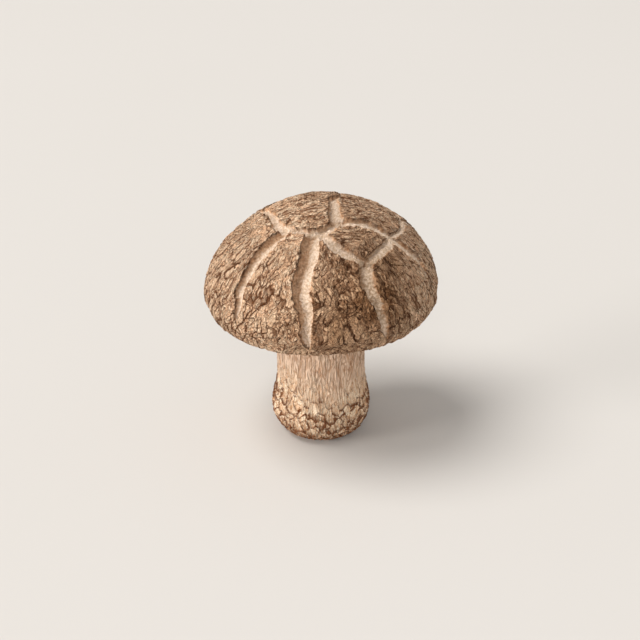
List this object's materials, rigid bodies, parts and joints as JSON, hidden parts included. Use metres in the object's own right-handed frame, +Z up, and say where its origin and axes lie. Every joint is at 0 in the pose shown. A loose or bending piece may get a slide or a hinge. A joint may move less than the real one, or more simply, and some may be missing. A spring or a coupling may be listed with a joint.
{
  "type": "shiitake mushroom",
  "caption": "Whole fresh shiitake mushroom with a thick domed cap whose brown skin has cracked open over pale flesh, close gills and a stout scaly stem that stands on its cut base.",
  "frame": {"origin": "centre of the object's box at its base, on the plane of the stem's cut base", "axes": "+Z up along the stem towards the crown of the cap, -Y the front, +X to the right seen from the front"},
  "size_m": [0.06, 0.06, 0.0645],
  "materials": {
    "cap_skin": "dry matt brown skin, broken into flakes, with cream flesh in the cracks",
    "gill_flesh": "matt cream, thin soft blades",
    "stem_fibre": "matt cream-tan lengthwise fibres, with brown-edged scales low down"
  },
  "bodies": {
    "root": {"cap": "cap_skin", "gills": "gill_flesh", "stem": "stem_fibre"}
  },
  "joints": []
}
